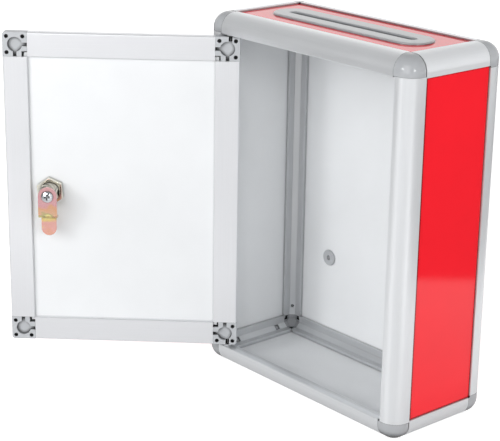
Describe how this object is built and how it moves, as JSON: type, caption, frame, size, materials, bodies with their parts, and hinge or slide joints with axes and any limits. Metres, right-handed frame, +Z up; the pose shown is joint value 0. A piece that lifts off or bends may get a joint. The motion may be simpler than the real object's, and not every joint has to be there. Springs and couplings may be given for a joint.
{
  "type": "donation box",
  "caption": "Wall or counter donation box: rounded aluminium rail frame, moulded corners, slotted top collar and a side-hinged front door with a cam lock, shown open",
  "frame": {"origin": "middle of the box's footprint, in the plane of the resting strips under its bottom rails", "axes": "+X to the right seen from the front, +Y to the back (towards the wall), +Z up; the doorway faces -Y"},
  "size_m": [0.3729, 0.2662, 0.3403],
  "materials": {
    "rail_aluminium": "satin anodised",
    "door_aluminium": "satin anodised, pale",
    "grey_plastic": "fine moulded",
    "door_plastic": "fine moulded",
    "red_panel": "gloss red outside, white inside",
    "nickel": "nickel plate",
    "yellow_zinc": "yellow zinc plate",
    "plain_steel": "bright steel"
  },
  "bodies": {
    "case": {"left_front_post": "rail_aluminium", "left_rear_post": "rail_aluminium", "right_front_post": "rail_aluminium", "right_rear_post": "rail_aluminium", "bottom_front_rail": "rail_aluminium", "bottom_rear_rail": "rail_aluminium", "top_front_rail": "rail_aluminium", "top_rear_rail": "rail_aluminium", "bottom_left_rail": "rail_aluminium", "bottom_right_rail": "rail_aluminium", "top_left_rail": "rail_aluminium", "top_right_rail": "rail_aluminium", "bottom_left_front_corner": "grey_plastic", "bottom_left_rear_corner": "grey_plastic", "bottom_right_front_corner": "grey_plastic", "bottom_right_rear_corner": "grey_plastic", "top_left_front_corner": "grey_plastic", "top_left_rear_corner": "grey_plastic", "top_right_front_corner": "grey_plastic", "top_right_rear_corner": "grey_plastic", "left_panel": "red_panel", "right_panel": "red_panel", "back_panel": "red_panel", "bottom_panel": "red_panel", "top_panel": "red_panel", "slot_collar": "grey_plastic", "wall_grommets": "grey_plastic", "bottom_hinge_bush": "grey_plastic", "top_hinge_bush": "grey_plastic", "latch_keeper": "plain_steel", "keeper_screws": "plain_steel"},
    "door": {"hinge_stile": "door_aluminium", "lock_stile": "door_aluminium", "door_bottom_rail": "door_aluminium", "door_top_rail": "door_aluminium", "door_bottom_hinge_corner": "door_plastic", "door_bottom_lock_corner": "door_plastic", "door_top_hinge_corner": "door_plastic", "door_top_lock_corner": "door_plastic", "door_panel": "red_panel", "lock_barrel": "nickel", "lock_nut": "nickel", "bottom_hinge_pin": "plain_steel", "top_hinge_pin": "plain_steel"},
    "lock_core": {"lock_plug": "nickel", "lock_cam": "yellow_zinc", "cam_screw": "yellow_zinc"}
  },
  "joints": [
    {"name": "door_hinge", "type": "hinge", "parent": "case", "child": "door", "pos_m": [-0.1, -0.0533, 0.1708], "axis": [0, 0, -1], "range_deg": [-133, 3]},
    {"name": "cam_turn", "type": "hinge", "parent": "door", "child": "lock_core", "pos_m": [-0.21389, -0.17544, 0.1708], "axis": [-0.7314, 0.682, 0], "range_deg": [0, 90]}
  ]
}
